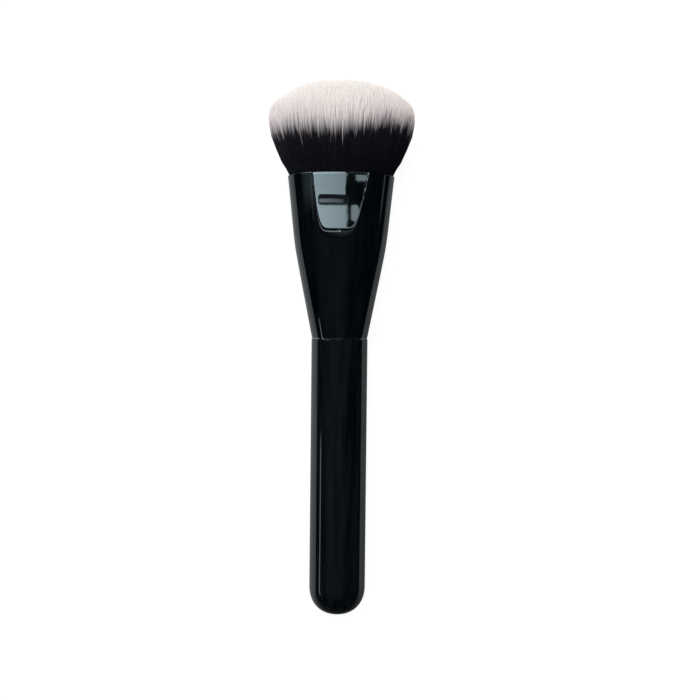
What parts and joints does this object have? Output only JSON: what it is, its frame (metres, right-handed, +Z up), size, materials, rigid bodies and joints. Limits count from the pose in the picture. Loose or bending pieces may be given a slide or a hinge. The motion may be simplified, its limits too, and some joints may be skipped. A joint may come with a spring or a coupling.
{
  "type": "kabuki makeup brush",
  "caption": "Makeup brush with a dense domed two-tone tuft, an oval ferrule with pressed flats and a straight round-ended handle, lying on its side.",
  "frame": {"origin": "on the table, at the centre of the footprint of the brush as it lies", "axes": "+Y towards the tuft, +Z up from the table through the front flat, +X to the right of the tuft seen from above"},
  "size_m": [0.0409, 0.1499, 0.0253],
  "materials": {
    "lacquered_wood": "turned hardwood under a high-gloss black lacquer",
    "coated_aluminium": "pressed aluminium under a high-gloss black coat",
    "filament": "dense synthetic filaments, dyed black with pale ivory tips",
    "thread": "natural cotton thread",
    "epoxy": "cured amber resin",
    "wood_glue": "cured pale glue"
  },
  "bodies": {
    "root": {"handle": "lacquered_wood", "ferrule": "coated_aluminium", "bristles": "filament", "tuft_tie": "thread", "root_glue": "epoxy", "tenon_glue": "wood_glue"}
  },
  "joints": []
}
